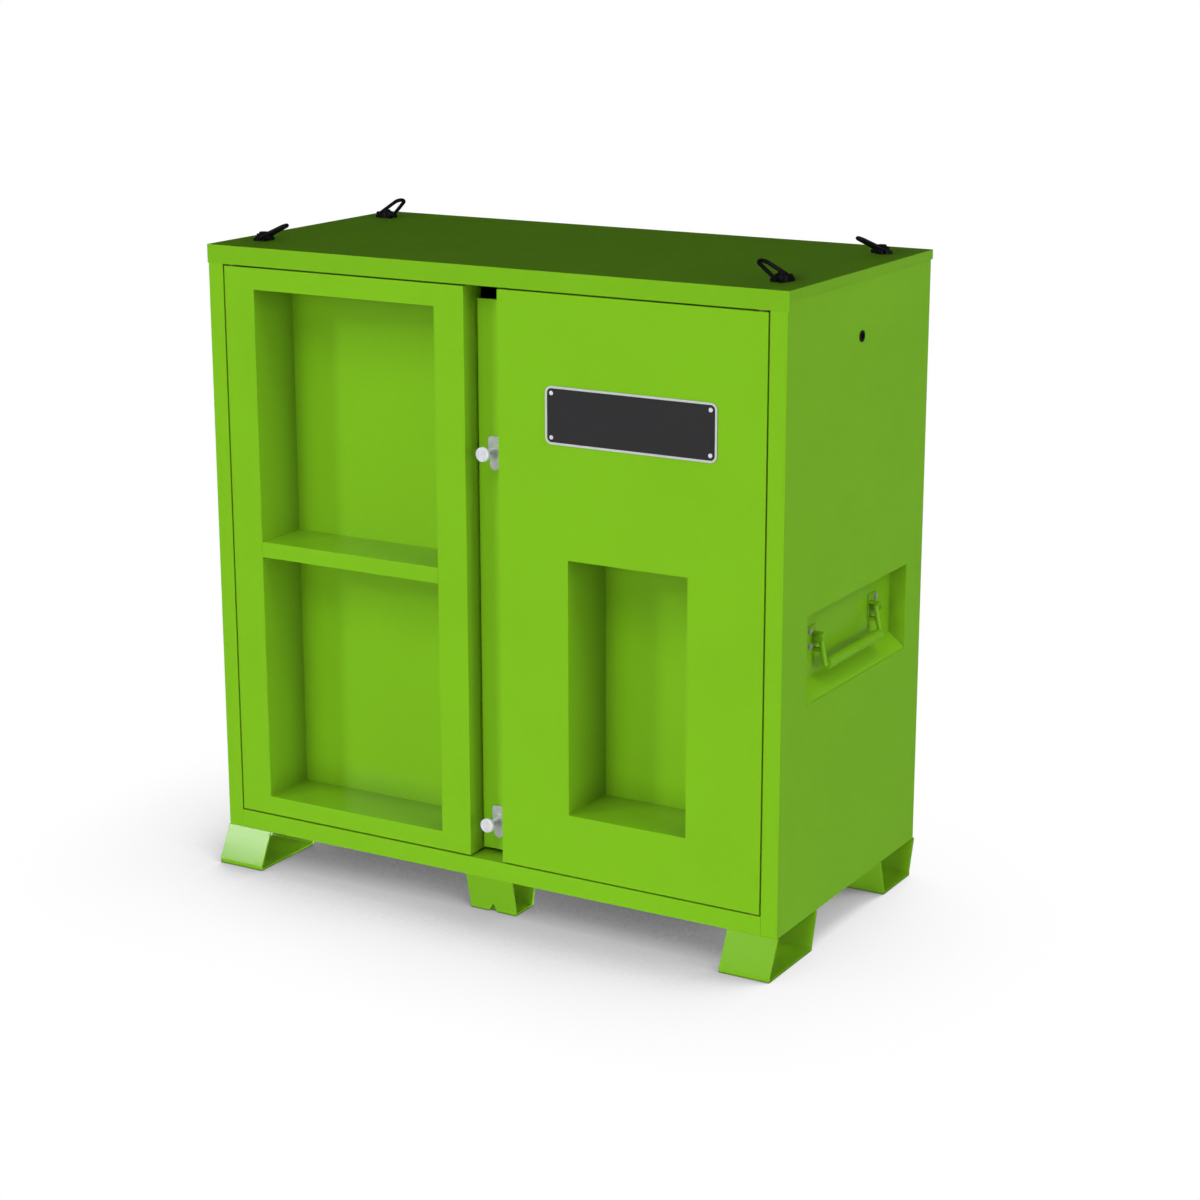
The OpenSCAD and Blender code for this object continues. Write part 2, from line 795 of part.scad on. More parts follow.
module base_pan() {
    color(green) in_cabinet() difference() {
        union() {
            block([-pan_x, stile_d + seam, deck_z], [pan_x, pan_back, sill_h]);
            block([seam - open_x, 0, deck_z], [open_x - seam, stile_d + 1, sill_h]);
            block([seam - open_x, 0, 0], [open_x - seam, plate_t, sill_h]);
            both_sides() block([pan_x - plate_t, stile_d + seam, 0], [pan_x, pan_back, sill_h]);
            block([-pan_x, pan_back - plate_t, 0], [pan_x, pan_back, sill_h]);
        }
        both_sides() translate([pivot_x, pivot_in, deck_z - 1])
            cylinder(r = pivot_d / 2 + seam / 4, h = plate_t + 2);
    }
}

// Channels from front to back that carry the base on its feet
module base_rails() {
    rail_x = pan_x - plate_t - seam;
    y0 = stile_d + 2 * seam;
    y1 = pan_back - plate_t - seam;
    color(dark_green) in_cabinet()
        for (x = [[-rail_x, foot_w - half_w],
                [centre_foot_x - foot_w / 2, centre_foot_x + foot_w / 2],
                [half_w - foot_w, rail_x]]) {
            block([x[0], y0, 0], [x[1], y1, plate_t]);
            block([max(x[0], 2 * seam - open_x), plate_t + seam, 0],
                [min(x[1], open_x - 2 * seam), y0 + 1, plate_t]);
            block([x[0], y0, 0], [x[0] + plate_t, y1, deck_z]);
            block([x[1] - plate_t, y0, 0], [x[1], y1, deck_z]);
        }
}

// Stops under the header and on the deck, clear of the lock strip
module door_stops() {
    color(dark_green) in_cabinet()
        for (x = [[pivot_swing - pivot_x, left_free - keeper_step - keeper_w - stop_clear],
                [strip_x1 + stop_clear, pivot_x - pivot_swing]],
                z = [sill_h, header_z - stop_h])
            block([x[0], stop_y, z], [x[1], stop_y + stop_t, z + stop_h]);
}

module door_pivot_pins() {
    color(zinc) in_cabinet() both_sides() translate([pivot_x, 0, 0]) {
        block([-pin_pad.x / 2, plate_t + seam, deck_z - pin_pad.z],
            [pin_pad.x / 2, plate_t + pin_pad.y, deck_z]);
        translate([0, pivot_in, deck_z - pin_pad.z])
            cylinder(d = pivot_d, h = door_z0 + bush_l - deck_z + pin_pad.z);
        block([-pin_pad.x / 2, plate_t + seam, header_z + plate_t],
            [pin_pad.x / 2, plate_t + pin_pad.y, header_z + plate_t + pin_pad.z]);
        translate([0, pivot_in, door_z1 - bush_l])
            cylinder(d = pivot_d, h = header_z + plate_t + pin_pad.z - door_z1 + bush_l);
    }
}

module left_pocket() {
    color(green) in_cabinet() mirror([1, 0, 0]) difference() {
        pocket();
        pocket_bolt_holes();
    }
}

module right_pocket() {
    color(green) in_cabinet() difference() {
        pocket();
        pocket_bolt_holes();
    }
}

module left_handle_brackets() {
    color(green) in_cabinet() mirror([1, 0, 0]) handle_brackets();
}

module right_handle_brackets() {
    color(green) in_cabinet() handle_brackets();
}

module handle_bolts() {
    color(zinc) in_cabinet() both_sides() handle_bolt_set();
}

module shelf_lower() {
    color(green) shelf(lower_shelf_z);
}

module shelf_upper() {
    color(green) shelf(upper_shelf_z);
}

module shelf_cleats() {
    y0 = shelf_in + 2 * shelf_play;
    y1 = shelf_back - 2 * shelf_play;
    color(dark_green) in_cabinet() both_sides()
        for (z = [lower_shelf_z, upper_shelf_z]) {
            block([wall_x - cleat_w, y0, z - panel_t - cleat_t], [wall_x, y1, z - panel_t]);
            block([wall_x - cleat_t, y0, z - panel_t - cleat_w], [wall_x, y1, z - panel_t]);
        }
}

module foot_front_left() {
    color(green) in_cabinet() mirror([1, 0, 0]) front_foot();
}

module foot_front_right() {
    color(green) in_cabinet() front_foot();
}

module foot_rear_left() {
    color(green) in_cabinet() mirror([1, 0, 0]) rear_foot();
}

module foot_rear_right() {
    color(green) in_cabinet() rear_foot();
}

module foot_centre_front() {
    color(green) in_cabinet() translate([centre_foot_x, 0, 0]) difference() {
        plate_foot(-centre_in, centre_base, centre_top);
        translate([0, 0, -foot_h - eps]) along_y(centre_in - foot_t, centre_in + 2 * foot_t)
            polygon([[-notch_w / 2, 0], [notch_w / 2, 0], [0, notch_h]]);
    }
}

module foot_centre_rear() {
    color(green) in_cabinet() translate([centre_foot_x, depth, 0]) mirror([0, 1, 0])
        plate_foot(-centre_in, centre_base, centre_top);
}

module ring_bushes() {
    color(bronze)
        for (i = [0:3]) at_ring(i) difference() {
            cylinder(r = ring_bush_r, h = swivel_h + 2 * play);
            translate([0, 0, -1]) cylinder(r = ring_bolt_d / 2 + seam / 4, h = swivel_h + 3);
        }
}

module ring_bolts() {
    reach = plate_t + rib_t + ring_nut_h + ring_bolt_end;
    color(black)
        for (i = [0:3]) at_ring(i) {
            translate([0, 0, swivel_h + 2 * play]) cylinder(r = ring_bush_r + ring_head_rim, h = ring_head_h);
            translate([0, 0, -reach]) cylinder(d = ring_bolt_d, h = reach + swivel_h + 1);
        }
}

module ring_nuts() {
    color(zinc)
        for (i = [0:3]) at_ring(i) translate([0, 0, -plate_t - rib_t - ring_nut_h]) difference() {
            cylinder(d = nut_ratio * ring_bolt_d, h = ring_nut_h, $fn = 6);
            translate([0, 0, -1]) cylinder(r = ring_bolt_d / 2 + seam / 4, h = ring_nut_h + 2);
        }
}

module left_door_panel() {
    color(green) in_cabinet() difference() {
        door_sheet(-door_x, left_free, 0, 0);
        block([left_recess_x0, -1, left_recess_z0], [left_recess_x1, panel_t + 1, left_recess_z1]);
        bush_holes(-pivot_x);
    }
}

module left_recess_box() {
    color(green) in_cabinet()
        recess_box(left_recess_x0, left_recess_x1, left_recess_z0, left_recess_z1, left_recess_d);
}

// Shelf between the two compartments, bent down and back at its front
module left_recess_shelf() {
    x0 = left_recess_x0 + seam;
    x1 = left_recess_x1 - seam;
    z1 = recess_shelf_z + recess_shelf_h;
    color(green) in_cabinet() {
        block([x0, 0, z1 - panel_t], [x1, left_recess_d, z1]);
        block([x0, 0, recess_shelf_z], [x1, panel_t, z1]);
        block([x0, 0, recess_shelf_z], [x1, lip_w, recess_shelf_z + panel_t]);
    }
}

// Channel behind the left door's free edge, with slots that the cams turn into
module left_door_keeper() {
    x1 = left_free - keeper_step;
    x0 = x1 - keeper_w;
    y1 = strip_in + keeper_back;
    slot_low = sqrt(cam_l * cam_l - (latch_x - x1) * (latch_x - x1)) + slot_clear;
    color(green) in_cabinet() difference() {
        union() {
            block([x0, door_d, door_z0], [x1, door_d + panel_t, door_z1]);
            block([x1 - panel_t, door_d, door_z0], [x1, y1, door_z1]);
            block([x0, y1 - panel_t, door_z0], [x1, y1, door_z1]);
        }
        for (z = [upper_latch_z, lower_latch_z])
            block([x1 - panel_t - 1, cam_y - slot_clear, z - slot_low],
                [x1 + 1, cam_y + wing_t + slot_clear, z + cam_w / 2 + slot_clear]);
    }
}

module left_door_bushes() {
    color(bronze) in_cabinet() door_bushes(-pivot_x);
}

module right_door_panel() {
    color(green) in_cabinet() difference() {
        door_sheet(right_free, door_x, strip_in, 0);
        block([right_recess_x0, -1, right_recess_z0],
            [right_recess_x1, panel_t + 1, right_recess_z1]);
        bush_holes(pivot_x);
    }
}

module right_recess_box() {
    color(green) in_cabinet()
        recess_box(right_recess_x0, right_recess_x1, right_recess_z0, right_recess_z1,
            right_recess_d);
}

module lock_strip() {
    color(green) in_cabinet() difference() {
        block([strip_x0, strip_in, strip_bottom], [strip_x1, strip_in + plate_t, strip_top]);
        for (z = [upper_latch_z, lower_latch_z])
            translate([latch_x, 0, z])
                bar_y(latch_bush_d / 2 + seam / 4, strip_in - 1, strip_in + plate_t + 1);
    }
}

module latch_bushes() {
    color(zinc)
        for (z = [upper_latch_z, lower_latch_z]) at_latch(z) difference() {
            union() {
                bar_y(latch_flange_d / 2, bush_front, strip_in);
                bar_y(latch_bush_d / 2, bush_front, bush_back);
            }
            bar_y(spindle_d / 2 + running_fit, bush_front - 1, bush_back + 1);
        }
}

module right_door_bushes() {
    color(bronze) in_cabinet() door_bushes(pivot_x);
}

// A bare plate with rounded corners on the right door
module blank_plate() {
    color(black) in_cabinet() translate([plate_x, 0, plate_z]) difference() {
        rotate([90, 0, 0]) linear_extrude(label_t) {
            square([plate_w - 2 * plate_r, plate_h], center = true);
            square([plate_w, plate_h - 2 * plate_r], center = true);
            for (x = [-1, 1], z = [-1, 1])
                translate([x * (plate_w / 2 - plate_r), z * (plate_h / 2 - plate_r)])
                    circle(plate_r);
        }
        at_rivets() bar_y(rivet_r + seam / 4, -label_t - 1, 1);
    }
}

module at_rivets() {
    for (x = [-1, 1], z = [-1, 1])
        translate([x * (plate_w / 2 - plate_r), 0, z * (plate_h / 2 - plate_r)]) children();
}

module plate_rivets() {
    color(zinc) in_cabinet() translate([plate_x, 0, plate_z]) at_rivets() {
        bar_y(rivet_r, -label_t - eps, 0);
        bar_y(2 * rivet_r, -label_t - rivet_h, -label_t);
    }
}

module upper_latch_spindle() {
    color(zinc) at_latch(upper_latch_z) latch_spindle();
}

module upper_latch_wing() {
    color(zinc) at_latch(upper_latch_z) latch_wing();
}

module upper_latch_cam() {
    color(zinc) at_latch(upper_latch_z) latch_cam();
}

module upper_latch_nut() {
    color(zinc) at_latch(upper_latch_z) latch_nut();
}

module lower_latch_spindle() {
    color(zinc) at_latch(lower_latch_z) latch_spindle();
}

module lower_latch_wing() {
    color(zinc) at_latch(lower_latch_z) latch_wing();
}

module lower_latch_cam() {
    color(zinc) at_latch(lower_latch_z) latch_cam();
}

module lower_latch_nut() {
    color(zinc) at_latch(lower_latch_z) latch_nut();
}

module left_handle_bail() {
    color(green) in_cabinet() mirror([1, 0, 0]) handle_bail();
}

module left_handle_grip() {
    color(green) in_cabinet() mirror([1, 0, 0]) handle_grip();
}

module right_handle_bail() {
    color(green) in_cabinet() handle_bail();
}

module right_handle_grip() {
    color(green) in_cabinet() handle_grip();
}

module front_left_swivel() {
    color(black) at_ring(0) ring_swivel();
}

module front_left_bail() {
    color(black) at_ring(0) ring_bail();
}

module rear_left_swivel() {
    color(black) at_ring(1) ring_swivel();
}

module rear_left_bail() {
    color(black) at_ring(1) ring_bail();
}

module front_right_swivel() {
    color(black) at_ring(2) ring_swivel();
}

module front_right_bail() {
    color(black) at_ring(2) ring_bail();
}

module rear_right_swivel() {
    color(black) at_ring(3) ring_swivel();
}

module rear_right_bail() {
    color(black) at_ring(3) ring_bail();
}

top_cap();
roof_ribs();
left_side_panel();
right_side_panel();
cable_grommet();
back_panel();
base_pan();
base_rails();
door_stops();
door_pivot_pins();
left_pocket();
right_pocket();
left_handle_brackets();
right_handle_brackets();
handle_bolts();
shelf_lower();
shelf_upper();
shelf_cleats();
foot_front_left();
foot_front_right();
foot_rear_left();
foot_rear_right();
foot_centre_front();
foot_centre_rear();
ring_bushes();
ring_bolts();
ring_nuts();
left_door_panel();
left_recess_box();
left_recess_shelf();
left_door_keeper();
left_door_bushes();
right_door_panel();
right_recess_box();
lock_strip();
latch_bushes();
right_door_bushes();
blank_plate();
plate_rivets();
upper_latch_spindle();
upper_latch_wing();
upper_latch_cam();
upper_latch_nut();
lower_latch_spindle();
lower_latch_wing();
lower_latch_cam();
lower_latch_nut();
left_handle_bail();
left_handle_grip();
right_handle_bail();
right_handle_grip();
front_left_swivel();
front_left_bail();
rear_left_swivel();
rear_left_bail();
front_right_swivel();
front_right_bail();
rear_right_swivel();
rear_right_bail();
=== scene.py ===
"""Looks of the jobsite storage cabinet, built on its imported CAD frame."""
import json
import math

import bmesh
import bpy
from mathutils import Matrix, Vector


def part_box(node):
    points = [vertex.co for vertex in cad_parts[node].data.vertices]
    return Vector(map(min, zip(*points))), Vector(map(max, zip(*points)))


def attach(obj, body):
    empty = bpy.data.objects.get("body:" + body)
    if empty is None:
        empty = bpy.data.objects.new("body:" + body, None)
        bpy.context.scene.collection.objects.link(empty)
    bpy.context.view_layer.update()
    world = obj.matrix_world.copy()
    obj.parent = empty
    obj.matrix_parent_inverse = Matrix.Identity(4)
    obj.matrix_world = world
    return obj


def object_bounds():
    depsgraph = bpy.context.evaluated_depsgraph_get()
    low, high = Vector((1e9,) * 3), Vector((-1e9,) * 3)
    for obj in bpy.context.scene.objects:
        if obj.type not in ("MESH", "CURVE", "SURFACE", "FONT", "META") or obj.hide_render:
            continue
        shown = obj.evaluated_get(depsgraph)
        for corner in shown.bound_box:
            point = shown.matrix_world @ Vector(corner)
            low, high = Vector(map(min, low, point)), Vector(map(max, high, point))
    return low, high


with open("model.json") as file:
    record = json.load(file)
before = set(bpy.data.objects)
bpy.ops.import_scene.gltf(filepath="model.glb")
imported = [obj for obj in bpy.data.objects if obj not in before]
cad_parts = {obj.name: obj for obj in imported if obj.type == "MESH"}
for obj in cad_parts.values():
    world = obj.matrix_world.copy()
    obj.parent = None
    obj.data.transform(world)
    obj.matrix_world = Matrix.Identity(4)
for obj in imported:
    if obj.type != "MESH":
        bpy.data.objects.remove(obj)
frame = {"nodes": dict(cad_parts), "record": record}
CAD_BOX = [list(c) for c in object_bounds()]
NODES = frame["nodes"]

# Camera at the photograph's angle
CAM_POS = (3.16749, -5.31763, 2.35165)
CAM_AZ, CAM_EL, CAM_ROLL = 29.98, 15.066, 0.038
CAM_LENS, CAM_SENSOR = 79.68, 36
CAM_CLIP = (0.1, 400)

# Colours, linear
GREEN = (0.228, 0.570, 0.011, 1)
BLACK = (0.0045, 0.0045, 0.006, 1)
PLATE = (0.030, 0.030, 0.032, 1)
RUBBER = (0.010, 0.010, 0.010, 1)
ZINC = (0.88, 0.91, 0.95, 1)
BOLT_ZINC = (0.42, 0.50, 0.36, 1)
WING_ZINC = (0.70, 0.76, 0.70, 1)
BRONZE = (0.20, 0.12, 0.05, 1)
PALE = (0.62, 0.64, 0.62, 1)
WHITE = (1, 1, 1, 1)
# The feet's green, as a share of the cabinet's: a darker copy of the same paint, painted shade on the feet
FOOT_SHADE_SHARE = 0.88

# Powder coat: noise scales of its clouds, gloss patches and orange peel, and the peel's strength and depth
CLOUDS, PATCHES, PEEL = 3.5, 14, 520
PEEL_STRENGTH, PEEL_DEPTH = 0.10, 0.0004
# Painted shade in a piece's own inner corners: its reach, and how dark it gets
CORNER_SHADE_REACH = 0.07
CORNER_SHADE_DEEP = 0.52
# Painted shade along the soles of the feet, in place of their contact shadow: the heights where it is full
# and where it ends, and how dark it is
SOLE_SHADE = (0.0, 0.0046)
SOLE_SHADE_DARK = 0.15
# Plating: noise scales of its grain in colour, gloss and relief, and the relief's strength and depth
GRAIN, GLOSS_GRAIN, RELIEF = 60, 150, 900
RELIEF_STRENGTH, RELIEF_DEPTH = 0.12, 0.0002

# Bends in place of sharp edges: radius, steps and the angle from which an edge counts as sharp
BEND = 0.0009
BEND_STEPS = 2
SHARP = math.radians(28)
# Before the bends, points this near are made one, and faces at this angle one flat
WELD = 0.00001
FLAT = math.radians(0.6)
FACE_WEIGHT = 100

# Rim of the dark plate: corner radius, height over the plate's face, width and bend
RIM_CORNER, RIM_PROUD, RIM_WIDTH, RIM_BEND = 0.016, 0.0007, 0.0052, 0.0003

# The floor: size, depth under the soles, and the white that it bounces
FLOOR_SIZE = 240
FLOOR_DROP = 0.0002
FLOOR_WHITE = (0.8, 0.8, 0.8, 1)
# How the floor darkens round and under the cabinet: openness to the sky, and the grey there
SHADE_REACH = 0.62
SHADE = [(0.05, 0.08), (0.12, 0.16), (0.19, 0.32), (0.27, 0.42), (0.38, 0.45), (0.48, 0.50), (0.57, 0.68),
         (0.66, 0.85), (0.74, 0.90), (0.85, 0.95), (0.97, 1.0)]
# The sky that counts for it is round a line that leans this much in X and Y for 1 upward
SHADE_LEAN = (0.30, 0.42)
# Deep shadow in the middle under the cabinet: half its footprint, depths from its edge, and how dark
FOOTPRINT = CAD_BOX[1][:2]
CORE = (0.23, 0.33)
CORE_DARK = 0.3
# What a gloss shows of the floor and of the world
GLOSS_FLOOR = 0.15
GLOSS_DOME = 0.012

# The roof plate, which the high lights are kept off
ROOF = ["top_cap"]
# The handles' pockets, whose sloping bottoms get light from above
POCKETS = ["left_pocket", "right_pocket"]
# Elevations of the low and the high part of a key light, and the high part's share
LOW, HIGH = 2, 46
HIGH_SHARE = 0.33
# Light that rises from the floor under the cabinet and reaches the insides of the feet
UNDER_SIZE = (1.30, 0.55)
UNDER_POWER = 4.5
UNDER_RISE = 0.003
# The world: strength overhead and at the horizon, and the heights between which it changes
DOME = 0.03
HORIZON = 0.60
HORIZON_TOP = (0.22, 0.38)


def shade(colour, k):
    return (colour[0] * k, colour[1] * k, colour[2] * k, 1)


def place(o, azimuth, elevation):
    """Links a camera or light and turns it back from that side; azimuth 0 is in front of the doors."""
    bpy.context.scene.collection.objects.link(o)
    a, e = math.radians(azimuth), math.radians(elevation)
    back = Vector((math.sin(a) * math.cos(e), -math.cos(a) * math.cos(e), math.sin(e)))
    o.rotation_euler = (-back).to_track_quat("-Z", "Y").to_euler()


class Nodes:
    """Small helper that adds and links the shader nodes of a material or world."""

    def __init__(self, owner, output="ShaderNodeOutputMaterial"):
        owner.use_nodes = True
        self.tree = owner.node_tree
        self.tree.nodes.clear()
        self.out = self.add(output)

    def add(self, kind, **values):
        """A new node; a value is set on the node itself, or else on the input of that name."""
        n = self.tree.nodes.new(kind)
        for key, value in values.items():
            if hasattr(n, key):
                setattr(n, key, value)
            else:
                n.inputs[key.replace("_", " ")].default_value = value
        return n

    def link(self, a, b):
        self.tree.links.new(a, b)

    def surface(self, shader):
        self.link(shader.outputs[0], self.out.inputs["Surface"])

    def coords(self):
        return self.add("ShaderNodeTexCoord").outputs["Object"]

    def split(self, vector):
        """X, Y and Z of a vector."""
        n = self.add("ShaderNodeSeparateXYZ")
        self.link(vector, n.inputs[0])
        return n.outputs

    def noise(self, scale, detail, rough=0.5):
        n = self.add("ShaderNodeTexNoise", Scale=scale, Detail=detail, Roughness=rough)
        self.link(self.coords(), n.inputs["Vector"])
        return n.outputs["Fac"]

    def ramp(self, fac, stops):
        """Colour at a value between the stops' places."""
        n = self.add("ShaderNodeValToRGB")
        ramp = n.color_ramp
        while len(ramp.elements) < len(stops):
            ramp.elements.new(0.5)
        for element, (at, colour) in zip(ramp.elements, stops):
            element.position = at
            element.color = colour
        self.link(fac, n.inputs["Fac"])
        return n.outputs["Color"]

    def span(self, fac, low, high, given=(0.0, 1.0), interpolation="LINEAR"):
        """Low to high, as the value goes over the given range."""
        n = self.add("ShaderNodeMapRange", interpolation_type=interpolation, From_Min=given[0],
                     From_Max=given[1], To_Min=low, To_Max=high)
        self.link(fac, n.inputs["Value"])
        return n.outputs["Result"]

    def calc(self, operation, *values):
        """Result of a Math node on numbers and sockets."""
        n = self.add("ShaderNodeMath", operation=operation)
        for entry, value in zip(n.inputs, values):
            if isinstance(value, float):
                entry.default_value = value
            else:
                self.link(value, entry)
        return n.outputs[0]

    def multiply(self, colour, share):
        n = self.add("ShaderNodeMix", data_type="RGBA", blend_type="MULTIPLY", Factor=1.0)
        self.link(colour, n.inputs["A"])
        self.link(share, n.inputs["B"])
        return n.outputs["Result"]

    def bump(self, height, strength, distance):
        n = self.add("ShaderNodeBump", Strength=strength, Distance=distance)
        self.link(height, n.inputs["Height"])
        return n.outputs["Normal"]

    def by_ray(self, scattered, mirrored, seen):
        """One shader for scattered light, one for what a gloss mirrors and one for the camera."""
        path = self.add("ShaderNodeLightPath")
        mix = scattered
        for ray, shader in (("Is Glossy Ray", mirrored), ("Is Camera Ray", seen)):
            both = self.add("ShaderNodeMixShader")
            self.link(path.outputs[ray], both.inputs["Fac"])
            self.link(mix.outputs[0], both.inputs[1])
            self.link(shader.outputs[0], both.inputs[2])
            mix = both
        self.surface(mix)


def powder_coat(name, colour, rough=(0.20, 0.26), level=0.22, bounce=0.45, deep=CORNER_SHADE_DEEP, sole_shade=False):
    """Powder coat: orange peel, faint clouds in the colour, painted shade in its inner corners, optional
    painted shade towards the soles, and soft gloss changes.

    Light that it scatters onto other pieces is a neutral grey, bounce, so shaded areas keep their own hue.
    """
    mat = bpy.data.materials.new(name)
    m = Nodes(mat)
    coat = m.ramp(m.noise(CLOUDS, 4), [(0.25, shade(colour, 0.97)), (0.75, shade(colour, 1.03))])
    # Painted shade: the piece's own ambient occlusion darkens its inner corners
    inner = m.add("ShaderNodeAmbientOcclusion", samples=8, only_local=True, Distance=CORNER_SHADE_REACH)
    coat = m.multiply(coat, m.span(inner.outputs["AO"], deep, 1.0))
    # Painted shade: darker towards the soles, in place of a contact shadow
    if sole_shade:
        coat = m.multiply(coat, m.span(m.split(m.coords())["Z"], SOLE_SHADE_DARK, 1.0, SOLE_SHADE))
    tone = m.add("ShaderNodeMix", data_type="RGBA", B=(bounce, bounce, bounce, 1))
    m.link(m.add("ShaderNodeLightPath").outputs["Is Diffuse Ray"], tone.inputs["Factor"])
    m.link(coat, tone.inputs["A"])
    b = m.add("ShaderNodeBsdfPrincipled", Specular_IOR_Level=level)
    m.link(tone.outputs["Result"], b.inputs["Base Color"])
    m.link(m.span(m.noise(PATCHES, 5, 0.6), *rough), b.inputs["Roughness"])
    m.link(m.bump(m.noise(PEEL, 2, 0.4), PEEL_STRENGTH, PEEL_DEPTH), b.inputs["Normal"])
    m.surface(b)
    return mat


def plated(name, colour, rough=(0.28, 0.42), metallic=0.2):
    """Plated or sintered metal: a fine grain in colour, gloss and relief."""
    mat = bpy.data.materials.new(name)
    m = Nodes(mat)
    b = m.add("ShaderNodeBsdfPrincipled", Metallic=metallic)
    grain = m.ramp(m.noise(GRAIN, 6, 0.65), [(0.3, shade(colour, 0.86)), (0.7, shade(colour, 1.08))])
    m.link(grain, b.inputs["Base Color"])
    m.link(m.span(m.noise(GLOSS_GRAIN, 4, 0.6), *rough), b.inputs["Roughness"])
    m.link(m.bump(m.noise(RELIEF, 2, 0.5), RELIEF_STRENGTH, RELIEF_DEPTH), b.inputs["Normal"])
    m.surface(b)
    return mat


# Materials by the record's slot, and the own ones of nodes that look different
MATS = {
    "green_paint": powder_coat("green_powder_coat", GREEN),
    "black_paint": powder_coat("black_powder_coat", BLACK, rough=(0.34, 0.46), level=0.12, bounce=0.01),
    "rubber": powder_coat("black_rubber", RUBBER, rough=(0.6, 0.75), level=0.3, bounce=0.02),
    "zinc": plated("bright_zinc", ZINC),
    "bronze": plated("sintered_bronze", BRONZE, rough=(0.4, 0.55)),
}
SLOTS = {s["node"]: s["material_slot"] for s in frame["record"]["subparts"]}
OWN = {
    "blank_plate": powder_coat("dark_plate", PLATE, rough=(0.4, 0.5), level=0.2, bounce=0.03),
    "handle_bolts": plated("dull_zinc", BOLT_ZINC, rough=(0.35, 0.5), metallic=0.3),
}
# The feet: the cabinet's green darkened as painted shade, with painted shade along the soles and no corner
# shade
FOOT_SHADED_MAT = powder_coat("green_foot_painted_shade", shade(GREEN, FOOT_SHADE_SHARE), level=0.27, deep=1.0, sole_shade=True)
OWN.update({n: FOOT_SHADED_MAT for n in NODES if n.startswith("foot_")})
# The pockets: the same green with weaker painted shade in their inner corners
POCKET_MAT = powder_coat("green_pocket_coat", GREEN, deep=0.9)
OWN.update({n: POCKET_MAT for n in POCKETS})
WING_MAT = plated("wing_zinc", WING_ZINC, metallic=0.45)
OWN.update({n: WING_MAT for n in NODES if n.endswith("_latch_wing")})
RIM_MAT = powder_coat("pale_rim", PALE, rough=(0.4, 0.5), level=0.3, bounce=0.6)


def dress(node):
    """A CAD node's own material, and bends in place of its sharp edges."""
    o = NODES[node]
    o.data.materials.clear()
    o.data.materials.append(OWN.get(node) or MATS[SLOTS[node]])
    for p in o.data.polygons:
        p.use_smooth = True
    o.modifiers.new("weld", "WELD").merge_threshold = WELD
    flats = o.modifiers.new("flats", "DECIMATE")
    flats.decimate_type = "DISSOLVE"
    flats.angle_limit = FLAT
    bends = o.modifiers.new("bends", "BEVEL")
    bends.width = BEND
    bends.segments = BEND_STEPS
    bends.limit_method = "ANGLE"
    bends.angle_limit = SHARP
    even = o.modifiers.new("even", "WEIGHTED_NORMAL")
    even.mode = "FACE_AREA"
    even.weight = FACE_WEIGHT


def finish_piece(name, bm, material, body):
    """Turns a bmesh into a piece that rides on a body."""
    mesh = bpy.data.meshes.new(name)
    bmesh.ops.recalc_face_normals(bm, faces=bm.faces[:])
    bm.to_mesh(mesh)
    bm.free()
    o = bpy.data.objects.new(name, mesh)
    bpy.context.scene.collection.objects.link(o)
    mesh.materials.append(material)
    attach(o, body)


def rounded_outline(w, h, r, steps=10):
    """Points of a rectangle with round corners, in X and Z."""
    points = []
    for cx, cz, start in ((1, 1, 0), (-1, 1, 90), (-1, -1, 180), (1, -1, 270)):
        for i in range(steps + 1):
            a = math.radians(start + 90 * i / steps)
            points.append((cx * (w / 2 - r) + r * math.cos(a), cz * (h / 2 - r) + r * math.sin(a)))
    return points


def plate_rim():
    """Pale rim that stands a little proud round the edge of the dark plate."""
    lo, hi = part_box("blank_plate")
    cx, cz = (lo.x + hi.x) / 2, (lo.z + hi.z) / 2
    w, h = hi.x - lo.x, hi.z - lo.z
    face, front = lo.y, lo.y - RIM_PROUD
    section = ((0, face), (0, front + RIM_BEND), (RIM_BEND, front),
               (RIM_WIDTH - RIM_BEND, front), (RIM_WIDTH, front + RIM_BEND), (RIM_WIDTH, face))
    bm = bmesh.new()
    rings = []
    for inset, y in section:
        outline = rounded_outline(w - 2 * inset, h - 2 * inset, RIM_CORNER - inset)
        rings.append([bm.verts.new((cx + x, y, cz + z)) for x, z in outline])
    for a, b in zip(rings, rings[1:] + rings[:1]):
        for i in range(len(a)):
            j = (i + 1) % len(a)
            bm.faces.new((a[i], a[j], b[j], b[i]))
    finish_piece("plate_rim", bm, RIM_MAT, "right_door")


def make_camera():
    data = bpy.data.cameras.new("camera")
    data.lens = CAM_LENS
    data.sensor_width = CAM_SENSOR
    data.clip_start, data.clip_end = CAM_CLIP
    cam = bpy.data.objects.new("camera", data)
    place(cam, CAM_AZ, CAM_EL)
    cam.location = CAM_POS
    cam.rotation_euler.rotate_axis("Z", math.radians(-CAM_ROLL))
    bpy.context.scene.camera = cam


def core_shadow(m):
    """1 outside, CORE_DARK in the middle of the footprint."""
    at = m.split(m.coords())
    depths = [m.calc("SUBTRACT", half, m.calc("ABSOLUTE", at[axis])) for axis, half in zip("XY", FOOTPRINT)]
    return m.span(m.calc("MINIMUM", *depths), 1.0, CORE_DARK, CORE, "SMOOTHSTEP")


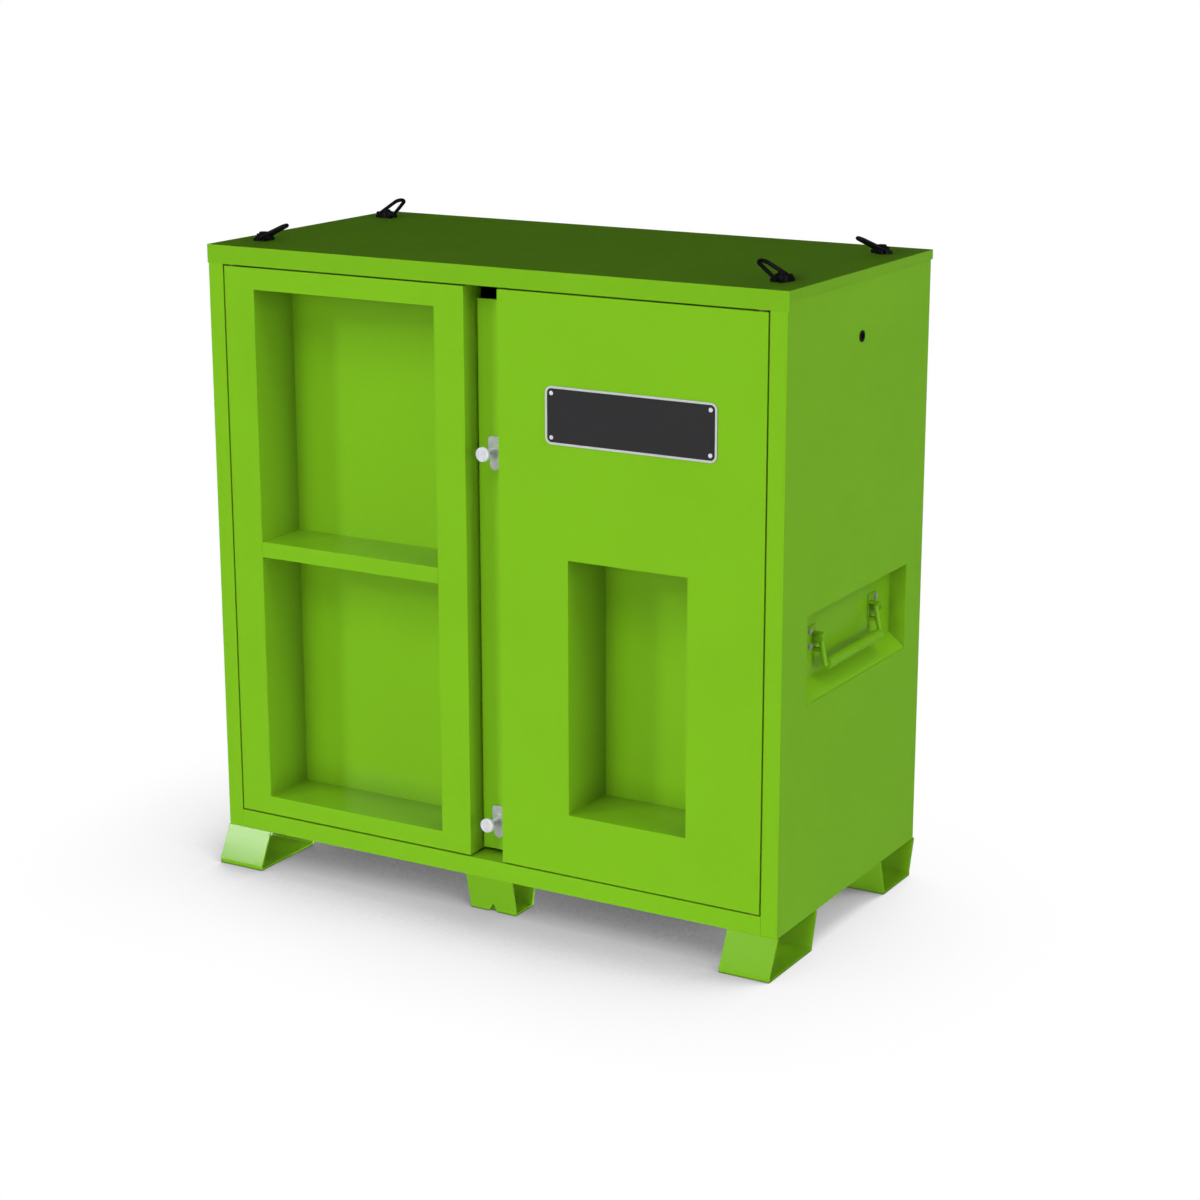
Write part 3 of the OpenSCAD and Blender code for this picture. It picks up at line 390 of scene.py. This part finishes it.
def floor_material():
    """Pale floor that bounces light; the camera sees it white, with a soft contact shadow."""
    mat = bpy.data.materials.new("studio_floor")
    m = Nodes(mat)
    sky = m.add("ShaderNodeAmbientOcclusion", samples=16, Distance=SHADE_REACH)
    lean = m.add("ShaderNodeCombineXYZ", X=SHADE_LEAN[0], Y=SHADE_LEAN[1], Z=1.0)
    upright = m.add("ShaderNodeVectorMath", operation="NORMALIZE")
    m.link(lean.outputs[0], upright.inputs[0])
    m.link(upright.outputs[0], sky.inputs["Normal"])
    seen = m.add("ShaderNodeEmission")
    m.link(m.ramp(sky.outputs["AO"], [(at, (k, k, k, 1)) for at, k in SHADE]), seen.inputs["Color"])
    m.link(core_shadow(m), seen.inputs["Strength"])
    plain = m.add("ShaderNodeBsdfDiffuse", Color=FLOOR_WHITE)
    dim = m.add("ShaderNodeEmission", Strength=GLOSS_FLOOR)
    m.by_ray(plain, dim, seen)
    return mat


def make_stage():
    bpy.ops.mesh.primitive_plane_add(size=FLOOR_SIZE, location=(0, 0, -FLOOR_DROP))
    floor = bpy.context.object
    floor.name = "studio_floor"
    floor.data.materials.append(floor_material())


def sun(name, strength, azimuth, elevation, angle, gloss=True, nodes=None, state="INCLUDE"):
    """Soft light from far away, on all pieces or linked by that state to the nodes."""
    data = bpy.data.lights.new(name, "SUN")
    data.energy = strength * math.pi
    data.angle = math.radians(angle)
    o = bpy.data.objects.new(name, data)
    place(o, azimuth, elevation)
    o.visible_glossy = gloss
    if nodes:
        lit = bpy.data.collections.new(name + "_lit")
        for n in nodes:
            lit.objects.link(NODES[n])
        for c in lit.collection_objects:
            c.light_linking.link_state = state
        o.light_linking.receiver_collection = lit


def key(name, strength, azimuth, angle):
    """Soft light with a share from above, in whose place the roof plate gets a low one."""
    sun(name + "_low", strength * (1 - HIGH_SHARE), azimuth, LOW, angle)
    high = strength * HIGH_SHARE / math.cos(math.radians(HIGH))
    sun(name + "_high", high, azimuth, HIGH, angle, nodes=ROOF, state="EXCLUDE")
    sun(name + "_roof", strength * HIGH_SHARE, azimuth, LOW, angle, nodes=ROOF)


def under_light():
    data = bpy.data.lights.new("under", "AREA")
    data.shape = "RECTANGLE"
    data.size, data.size_y = UNDER_SIZE
    data.energy = UNDER_POWER
    o = bpy.data.objects.new("under", data)
    bpy.context.scene.collection.objects.link(o)
    o.location.z = UNDER_RISE
    o.rotation_euler.x = math.pi
    o.visible_camera = o.visible_glossy = False


def make_lights():
    key("front", strength=0.54, azimuth=2, angle=26)
    key("right", strength=0.42, azimuth=80, angle=26)
    sun("front_left", strength=0.20, azimuth=-39.1, elevation=23.4, angle=8)
    sun("rear", strength=0.50, azimuth=180, elevation=3, angle=50, gloss=False)
    sun("left", strength=0.14, azimuth=-110, elevation=3, angle=50, gloss=False)
    sun("pockets", strength=0.17, azimuth=80, elevation=75, angle=20, gloss=False, nodes=POCKETS)
    under_light()


def make_world():
    """Light from low round the horizon; the camera sees it white, and a gloss shows it nearly black."""
    world = bpy.data.worlds.new("studio")
    bpy.context.scene.world = world
    w = Nodes(world, "ShaderNodeOutputWorld")
    ambient = w.add("ShaderNodeBackground")
    height = w.split(w.add("ShaderNodeTexCoord").outputs["Generated"])["Z"]
    w.link(w.span(height, HORIZON, DOME, HORIZON_TOP), ambient.inputs["Strength"])
    dim = w.add("ShaderNodeBackground", Strength=GLOSS_DOME)
    white = w.add("ShaderNodeBackground", Color=WHITE, Strength=1.0)
    w.by_ray(ambient, dim, white)


for n in NODES:
    dress(n)
plate_rim()
make_camera()
make_stage()
make_lights()
make_world()
bpy.context.scene.view_settings.view_transform = "Standard"
